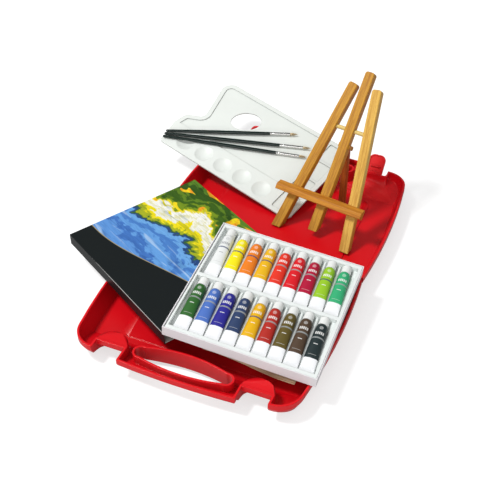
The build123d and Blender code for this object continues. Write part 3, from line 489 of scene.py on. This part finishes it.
def printed_carton():
    """Broad wavy strokes of blue, white, yellow and green, and a black panel with a gold line."""
    s = Shader("carton_print")
    place = s.place(CARTON)
    x, y, z = s.split(place)
    strokes = painted_strokes(s, place, x, y)
    # The black panel lies along the near side, and its edge bends twice.
    edge = s.maths("SUBTRACT", y, s.times(s.step(x, -90.0, 105.0), 44.0))
    black = s.rest_of(s.step(edge, -58.4, -57.8))
    gold = s.between(edge, -58.2, -57.1, 0.25)
    top = s.mix(black, strokes, (0.0085, 0.0115, 0.012))
    top = s.mix(gold, top, (0.32, 0.26, 0.13))
    # The sides are black, with worn pale card where the print folds over.
    on_side = s.rest_of(s.step(z, 12.9, 13.4))
    color = s.mix(on_side, top, (0.0105, 0.0125, 0.0135))
    near_edge = s.times(s.step(s.times(y, -1.0), 86.1, 86.6), s.between(z, 13.0, 13.9, 0.15))
    worn = s.add(x, s.times(s.noise(place, 0.5, 3.0), 90.0))
    rubbed = s.times(near_edge, s.step(worn, -10.0, 60.0))
    color = s.mix(s.times(rubbed, 0.8), color, (0.62, 0.62, 0.60))
    # Bare card inside, where the end is open.
    inner_y = s.rest_of(s.step(s.maths("ABSOLUTE", y), 86.05, 86.2))
    inner_z = s.between(z, 0.7, 12.9, 0.05)
    inner_x = s.rest_of(s.step(s.times(x, -1.0), 98.2, 98.35))
    inside = s.times(s.times(inner_y, inner_z), inner_x)
    color = s.mix(inside, color, (0.46, 0.44, 0.40))
    handled = s.group(HANDLED, Place=place, Roughness=0.42, Haze=0.10, Scale=0.02)
    s.set(color=color, roughness=handled["Roughness"], specular=0.16)
    s.bump(handled["Height"], 0.15, 0.00004)
    return s.material


PAINTS = [
    ((0.74, 0.76, 0.75), "zinc_white"), ((0.86, 0.74, 0.005), "lemon"), ((0.78, 0.20, 0.012), "orange"),
    ((0.76, 0.43, 0.008), "golden"), ((0.73, 0.032, 0.014), "vermilion"),
    ((0.66, 0.008, 0.016), "bright_red"), ((0.42, 0.005, 0.038), "crimson"),
    ((0.29, 0.54, 0.02), "leaf_green"), ((0.035, 0.40, 0.17), "emerald"),
    ((0.03, 0.13, 0.025), "deep_green"), ((0.07, 0.16, 0.50), "sky_blue"),
    ((0.024, 0.022, 0.27), "ultramarine"), ((0.028, 0.052, 0.13), "navy"), ((0.74, 0.41, 0.004), "ochre"),
    ((0.42, 0.022, 0.014), "earth_red"), ((0.115, 0.085, 0.018), "olive_brown"),
    ((0.085, 0.052, 0.032), "dark_brown"), ((0.020, 0.033, 0.035), "charcoal"),
]
WHITE_TUBE = 1
DARK_BANDED_TUBES = (1, 2, 3, 4, 8, 14)


def painted_tube(number):
    paint, label = PAINTS[number - 1]
    s = Shader("tube_" + label)
    band = (0.05, 0.07, 0.16) if number in DARK_BANDED_TUBES else (0.30, 0.32, 0.32)
    mark = (0.25, 0.26, 0.28) if number == WHITE_TUBE else (0.86, 0.86, 0.84)
    printed = s.group(TUBE, Place=s.place(tube_frame(number)), Paint=paint, Band=band, Mark=mark)
    s.set(color=printed["Color"], roughness=printed["Roughness"], specular=0.3)
    s.bump(printed["Height"], 0.5, 0.0004)
    return s.material


def ferrule_metal():
    s = Shader("ferrule_metal")
    handled = s.group(HANDLED, Place=s.place(PALETTE), Roughness=0.22, Haze=0.2, Scale=0.3)
    color = s.mix(handled["Shade"], (0.55, 0.55, 0.54), (0.82, 0.82, 0.80))
    s.set(color=color, metallic=1.0, roughness=handled["Roughness"])
    s.bump(handled["Height"], 0.2, 0.00003)
    return s.material


def bristle_hair():
    s = Shader("bristle_hair")
    tone = s.noise(s.place(PALETTE), 1.5, 3.0)
    s.set(color=s.mix(tone, (0.52, 0.36, 0.15), (0.88, 0.76, 0.52)), roughness=0.5, sheen=0.3)
    s.bump(tone, 0.1, 0.00005)
    return s.material


def dress(node, material):
    mesh = nodes[node].data
    if not mesh.materials:
        mesh.materials.append(material)
    for slot in nodes[node].material_slots:
        slot.material = material


RED = case_plastic()
# The palette's and the insert's whites both get shade painted into their creases and grooves.
PALETTE_WHITE = moulded(
    "palette_white_plastic", (0.775, 0.81, 0.77), 0.44, 0.06, PALETTE, 0.0010, depth=0.00001, painted_shade_depth=0.75
)
CAP_WHITE = moulded("cap_white_plastic", (0.81, 0.825, 0.805), rough=0.38, edge=0.0007, depth=0.00001)
INSERT_WHITE = moulded(
    "insert_white_plastic", (0.80, 0.84, 0.825), rough=0.34, matrix=TRAY, edge=0.0012, depth=0.00001,
    painted_shade_depth=0.55
)
HANDLE_DARK = moulded("brush_handle_lacquer", (0.003, 0.013, 0.010), rough=0.18, edge=0.0003, coat=0.1)
# Near-white card, with a faint pink tint that paints the red light reflected onto it from the case.
TRAY_CARD = card("tray_white_card", (0.86, 0.83, 0.85), TRAY)
LEAFLET_PAPER = card("leaflet_cream_paper", (0.94, 0.74, 0.48), LEAFLET, 0.7)
METAL = ferrule_metal()
HAIR = bristle_hair()

for node in ("base_shell", "lid_shell", "latch_tab_left", "latch_tab_right"):
    dress(node, RED)
dress("carton", printed_carton())
dress("card_tray", TRAY_CARD)
dress("blister_insert", INSERT_WHITE)
dress("palette", PALETTE_WHITE)
dress("leaflet", LEAFLET_PAPER)
for number in range(1, 2 * TUBES_IN_ROW + 1):
    dress(f"paint_tube_{number:02d}", painted_tube(number))
    dress(f"tube_cap_{number:02d}", CAP_WHITE)

# Each brush: its handle's end and its tip on the palette, then its handle's and its ferrule's lengths.
BRUSHES = {
    "round_brush_small": ((-107.3, -52.6), (32.8, 48.4), 136.0, 26.0),
    "round_brush_large": ((-105.8, -57.3), (60.7, 39.6), 151.5, 30.0),
    "round_brush_medium": ((-104.3, -62.0), (65.3, 24.6), 150.0, 30.0),
}
for brush in BRUSHES:
    dress(brush + "_handle", HANDLE_DARK)
    dress(brush + "_ferrule", METAL)
    dress(brush + "_tuft", HAIR)

# Each strip of the easel: its place, its lighter and darker tones, and how strongly it is streaked.
GOLDEN = (0.58, 0.285, 0.026)
BROWN = (0.35, 0.125, 0.010)
LEG_TURN = math.degrees(math.atan2(LEG_DRAWN_IN, LEG_HEIGHT))
STRIPS = {
    "mast": (EASEL, GOLDEN, BROWN, 0.78),
    "leg_left": (EASEL @ move(-LEG_FOOT_X, 0, 0) @ turn("Z", -LEG_TURN), GOLDEN, BROWN, 0.78),
    "leg_right": (
        EASEL @ move(LEG_FOOT_X, 0, 0) @ turn("Z", LEG_TURN), (0.74, 0.45, 0.085), (0.46, 0.20, 0.022), 0.78
    ),
    "ledge": (
        EASEL @ move(LEDGE_X, LEDGE_Y, 0) @ turn("Z", 90), (0.58, 0.235, 0.020), (0.35, 0.105, 0.008), 0.78
    ),
    "dowel": (EASEL @ move(0, DOWEL_Y, 0) @ turn("Z", 90), (0.74, 0.56, 0.20), (0.52, 0.33, 0.09), 0.4),
    "rear_leg": (
        EASEL @ move(0, REAR_PIVOT_Y, REAR_PIVOT_Z) @ turn("X", REAR_LEG_ANGLE),
        (0.46, 0.10, 0.014), (0.20, 0.035, 0.006), 0.6
    ),
}
for strip, (matrix, light, dark, streaks) in STRIPS.items():
    dress("easel_" + strip, wooden(strip + "_wood", matrix, light, dark, streaks))


# Pieces of the scene's own.


def everything(mesh):
    return mesh.verts[:] + mesh.edges[:] + mesh.faces[:]


def linked_object(name, data):
    made = bpy.data.objects.new(name, data)
    bpy.context.collection.objects.link(made)
    return made


def new_piece(name, mesh, material, body=None):
    data = bpy.data.meshes.new(name)
    mesh.to_mesh(data)
    mesh.free()
    data.materials.append(material)
    data.shade_smooth()
    piece = linked_object(name, data)
    if body:
        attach(piece, body)
    return piece


def smooth_shell(node, body):
    """A shell with its corner facets shaded as one bend."""
    mesh = bmesh.new()
    mesh.from_mesh(nodes[node].data)
    bmesh.ops.remove_doubles(mesh, verts=mesh.verts, dist=0.000002)
    piece = new_piece(node + "_smooth", mesh, RED, body)
    piece.data.set_sharp_from_angle(angle=math.radians(18))
    weighted = piece.modifiers.new("even_normals", "WEIGHTED_NORMAL")
    weighted.keep_sharp = True
    piece.cycles.shadow_terminator_offset = 0.35
    piece.cycles.shadow_terminator_geometry_offset = 0.25
    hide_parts(node)


def hinge_film():
    """The thin web that joins the shells, with a shallow groove along its fold."""
    groove_depth, groove_width = 0.0002, 0.0004
    film = bmesh.new()
    flat = move(0, HINGE.y, 0.0237) @ Matrix.Diagonal((0.2236, 0.0026, 1, 1))
    bmesh.ops.create_grid(film, x_segments=40, y_segments=16, size=0.5, matrix=flat)
    for vert in film.verts:
        vert.co.z -= groove_depth * math.exp(-(((vert.co.y - HINGE.y) / groove_width) ** 2))
    bmesh.ops.solidify(film, geom=everything(film), thickness=0.00012)
    piece = new_piece("hinge_film", film, RED)
    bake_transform(piece)


def formed_row(row, name):
    """The insert's formed sheet under one row of tubes: a trough for each tube and a soft rib between two."""
    pitch = TUBE_PITCH / MM
    middle = (ROW_MIDDLE if row == 0 else -ROW_MIDDLE) / MM
    trough_height, rib_rise = 2.0, 5.0
    trough_half, rib_run = 3.7, 4.5
    last = TUBES_IN_ROW // 2
    sheet = bmesh.new()
    flat = move(0, middle, 0) @ Matrix.Diagonal((156.0, 74.5, 1, 1))
    bmesh.ops.create_grid(sheet, x_segments=260, y_segments=30, size=0.5, matrix=flat)
    for vert in sheet.verts:
        across = vert.co.x + (vert.co.y - middle) * math.tan(math.radians(TUBE_SKEW))
        column = max(-last, min(last, round(across / pitch)))
        share = max(0.0, min(1.0, (abs(across - column * pitch) - trough_half) / rib_run))
        vert.co.z = trough_height + rib_rise * share * share * (3 - 2 * share)
    sheet.transform(TRAY @ Matrix.Scale(MM, 4))
    new_piece(name, sheet, INSERT_WHITE, "tray")


def hair_tuft(brush):
    """Fine hairs packed in the ferrule, that swell past its mouth and draw in to a point."""
    end, tip, handle, ferrule = BRUSHES[brush]
    run, rise = tip[0] - end[0], tip[1] - end[1]
    length = math.hypot(run, rise)
    seat = 2.5
    reach = length - handle - ferrule + seat
    rings, levels, tuft_radius = 8, 9, 1.34
    chance = random.Random(11)
    hairs = bmesh.new()
    for ring in range(rings + 1):
        count = max(1, 6 * ring)
        for index in range(count):
            angle = 2 * math.pi * index / count + 0.4 * ring
            radius = tuft_radius * ring / rings
            tall = reach * (1 - 0.20 * (ring / rings) ** 2 - chance.uniform(0, 0.06))
            place = move(radius * math.cos(angle), radius * math.sin(angle), tall / 2)
            bmesh.ops.create_cone(
                hairs, cap_ends=True, segments=4, radius1=0.11, radius2=0.035, depth=tall, matrix=place
            )
    for level in range(1, levels):
        cut = (0, 0, reach * level / levels)
        bmesh.ops.bisect_plane(hairs, geom=everything(hairs), plane_co=cut, plane_no=(0, 0, 1))
    for vert in hairs.verts:
        share = max(0.0, (vert.co.z - seat) / (reach - seat))
        width = 1 + 0.24 * math.sin(math.pi * min(share / 0.7, 1)) - 0.86 * share ** 2
        vert.co.x *= width
        vert.co.y *= width
    dip = math.degrees(math.atan(0.4 / length))
    place = move(end[0] * MM, end[1] * MM, 0.0026) @ turn("Z", math.degrees(math.atan2(rise, run)))
    place = PALETTE @ place @ turn("Y", dip) @ move((handle + ferrule - seat) * MM, 0, 0) @ turn("Y", 90)
    hairs.transform(place @ Matrix.Scale(MM, 4))
    piece = new_piece(brush + "_hairs", hairs, HAIR, brush)
    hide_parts(brush + "_tuft")


def curled_leaflet():
    """A folded leaflet of two leaves, waved, with its near right corner curling up."""
    width, depth, wave_half = 105, 74, 1.45
    leaves = bmesh.new()
    for leaf in (0, 1):
        size = Matrix.Diagonal((width - 1.5 * leaf, depth - 2.0 * leaf, 1, 1))
        made = bmesh.ops.create_grid(leaves, x_segments=70, y_segments=44, size=0.5, matrix=size)
        for vert in made["verts"]:
            x, y = vert.co.x, vert.co.y
            curl = min(1.0, max(0.0, (x + 4) / 34)) ** 1.5 * max(0.0, (-y - 2) / 35) ** 1.4
            wave = wave_half * (1 - math.sin(2 * math.pi * x / width))
            vert.co.x += 4.0 * curl
            vert.co.y -= 2.5 + 5.5 * curl
            vert.co.z = 0.4 + 0.55 * leaf + wave + (5.6 + 1.2 * leaf) * curl
    bmesh.ops.solidify(leaves, geom=everything(leaves), thickness=0.22)
    leaves.transform(LEAFLET @ Matrix.Scale(MM, 4))
    piece = new_piece("curled_leaflet", leaves, LEAFLET_PAPER, "leaflet")
    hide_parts("leaflet")


smooth_shell("base_shell", "base")
smooth_shell("lid_shell", "lid")
hinge_film()
curled_leaflet()
formed_row(0, "insert_far_row")
formed_row(1, "insert_near_row")
for brush in BRUSHES:
    hair_tuft(brush)


# The set: floor, lights and camera.


def white_floor():
    """A plain floor that shades like paper and looks white to the camera."""
    mesh = bmesh.new()
    bmesh.ops.create_grid(mesh, x_segments=1, y_segments=1, size=6)
    data = bpy.data.meshes.new("floor")
    mesh.to_mesh(data)
    mesh.free()
    data.transform(move(0, 0, -0.0002))
    s = Shader("floor_white")
    s.set(color=(0.52, 0.52, 0.52), roughness=0.9, specular=0.0)
    glow = s.node("ShaderNodeEmission")
    glow.inputs["Color"].default_value = (1, 1, 1, 1)
    seen = s.node("ShaderNodeLightPath").outputs["Is Camera Ray"]
    s.link(s.times(seen, 0.60), glow.inputs["Strength"])
    both = s.node("ShaderNodeAddShader")
    s.link(s.surface.outputs["BSDF"], both.inputs[0])
    s.link(glow.outputs["Emission"], both.inputs[1])
    s.link(both.outputs[0], s.output.inputs["Surface"])
    data.materials.append(s.material)
    floor = linked_object("floor", data)


def studio_room():
    """An even white room. Reflections see it dimmer, so that glossy pieces keep their own colour."""
    world = bpy.data.worlds.new("studio")
    bpy.context.scene.world = world
    world.use_nodes = True
    tree = world.node_tree
    background = tree.nodes["Background"]
    background.inputs["Color"].default_value = (1, 1, 1, 1)
    strength = tree.nodes.new("ShaderNodeMath")
    strength.operation = "MULTIPLY_ADD"
    strength.inputs[1].default_value = -0.33
    strength.inputs[2].default_value = 0.50
    rays = tree.nodes.new("ShaderNodeLightPath")
    tree.links.new(rays.outputs["Is Glossy Ray"], strength.inputs[0])
    tree.links.new(strength.outputs[0], background.inputs["Strength"])


def lamp(name, place, target, size, power):
    data = bpy.data.lights.new(name, "AREA")
    data.shape = "DISK"
    data.size = size
    data.energy = power
    made = linked_object(name, data)
    made.location = place
    made.rotation_euler = (Vector(target) - Vector(place)).to_track_quat("-Z", "Y").to_euler()


def fitted_camera():
    """The camera, placed and turned as for the photograph."""
    focal_pixels, picture_pixels, sensor = 936.01, 500, 36
    pitch, yaw, roll = math.radians(41.23), math.radians(-22.64), math.radians(0.14)
    distance = 1.1094
    target = Vector((-0.01604, 0.02222, 0)) + HINGE
    data = bpy.data.cameras.new("camera")
    data.sensor_width = sensor
    data.lens = focal_pixels / picture_pixels * sensor
    data.clip_end = 20
    ahead = Vector((math.sin(yaw) * math.cos(pitch), math.cos(yaw) * math.cos(pitch), -math.sin(pitch)))
    level_right = Vector((math.cos(yaw), -math.sin(yaw), 0))
    level_up = level_right.cross(ahead)
    right = math.cos(roll) * level_right + math.sin(roll) * level_up
    up = math.cos(roll) * level_up - math.sin(roll) * level_right
    basis = Matrix((right, up, -ahead)).transposed().to_4x4()
    camera = linked_object("camera", data)
    camera.matrix_world = Matrix.Translation(target - ahead * distance) @ basis
    bpy.context.scene.camera = camera


white_floor()
studio_room()
lamp("key_light", (-1.2, -0.38, 2.3), (0, 0.1, 0), 0.5, 45)
lamp("fill_light", (0.3, -2.1, 0.9), (0, 0.0, 0), 1.6, 18)
fitted_camera()

bpy.context.scene.view_settings.view_transform = "Standard"
bpy.context.view_layer.update()
